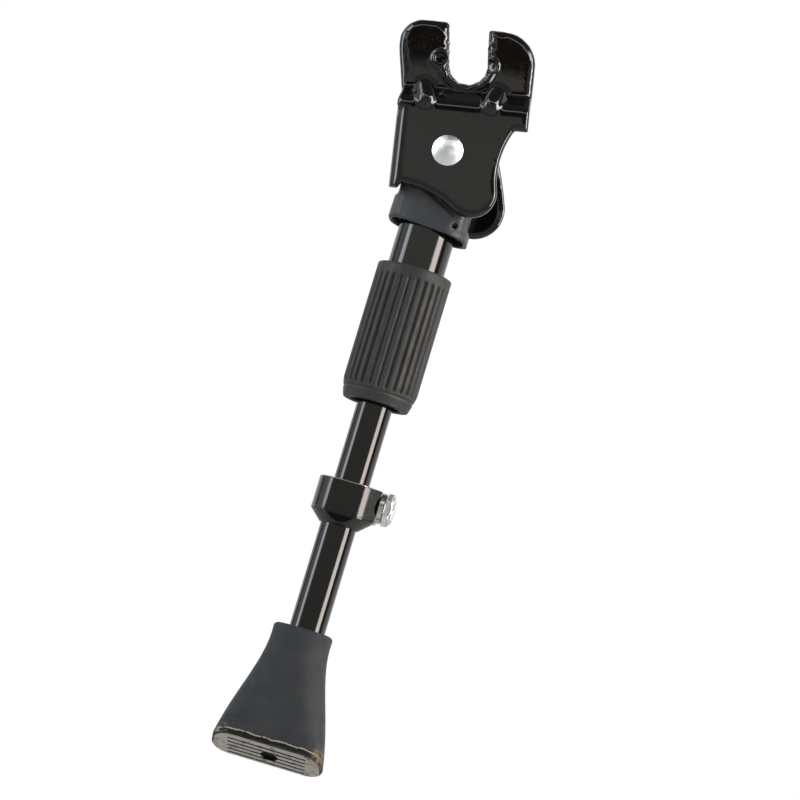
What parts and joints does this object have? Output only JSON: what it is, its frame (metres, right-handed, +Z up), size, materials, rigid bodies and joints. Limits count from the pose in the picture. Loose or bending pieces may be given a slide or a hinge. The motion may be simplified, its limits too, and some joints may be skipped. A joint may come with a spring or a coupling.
{
  "type": "bicycle kickstand",
  "caption": "Adjustable bicycle side stand: pressed axle bracket, swinging tube with rubber grip, telescoping rod with a clamped stop collar and a flared rubber foot.",
  "frame": {"origin": "centre of the axle slot's round end, in the middle of the hook plate", "axes": "+Z up along the lowered leg, +Y towards the bicycle's frame along the wheel axle, +X to the right seen from outside"},
  "size_m": [0.0418, 0.0275, 0.2117],
  "materials": {
    "black_enamel": "thick black gloss enamel",
    "bright_steel": "bright plated",
    "plain_steel": "plain zinc",
    "grey_plastic": "moulded, matte dark grey",
    "black_plastic": "moulded, matte black",
    "grip_rubber": "matte ribbed rubber",
    "foot_rubber": "matte rubber with a scuffed sole"
  },
  "bodies": {
    "bracket": {"bracket": "black_enamel", "pivot_rivet": "bright_steel", "pivot_sleeve": "plain_steel", "front_washer": "plain_steel", "rear_washer": "plain_steel"},
    "upper_leg": {"leg_head": "grey_plastic", "upper_tube": "black_enamel", "rubber_grip": "grip_rubber", "guide_bush": "black_plastic", "detent_plunger": "plain_steel", "leg_spring": "plain_steel"},
    "lower_leg": {"leg_rod": "black_enamel", "rod_cap": "black_plastic", "guide_pin": "plain_steel", "rubber_foot": "foot_rubber", "foot_washer": "plain_steel"},
    "stop_collar": {"stop_collar": "black_enamel", "clamp_bolt": "bright_steel", "lock_washer": "plain_steel"}
  },
  "joints": [
    {"name": "leg_swing", "type": "hinge", "parent": "bracket", "child": "upper_leg", "pos_m": [0.0019, 0.00605, -0.02588], "axis": [0, -1, 0], "range_deg": [0, 100]},
    {"name": "rod_plunge", "type": "slide", "parent": "upper_leg", "child": "lower_leg", "axis": [0, 0, 1], "range_m": [0, 0.0224], "stiffness_N_per_m": 500, "springref_m": -0.01, "deforming": ["leg_spring"]},
    {"name": "collar_slide", "type": "slide", "parent": "lower_leg", "child": "stop_collar", "axis": [0, 0, -1], "range_m": [0, 0.0292]}
  ]
}
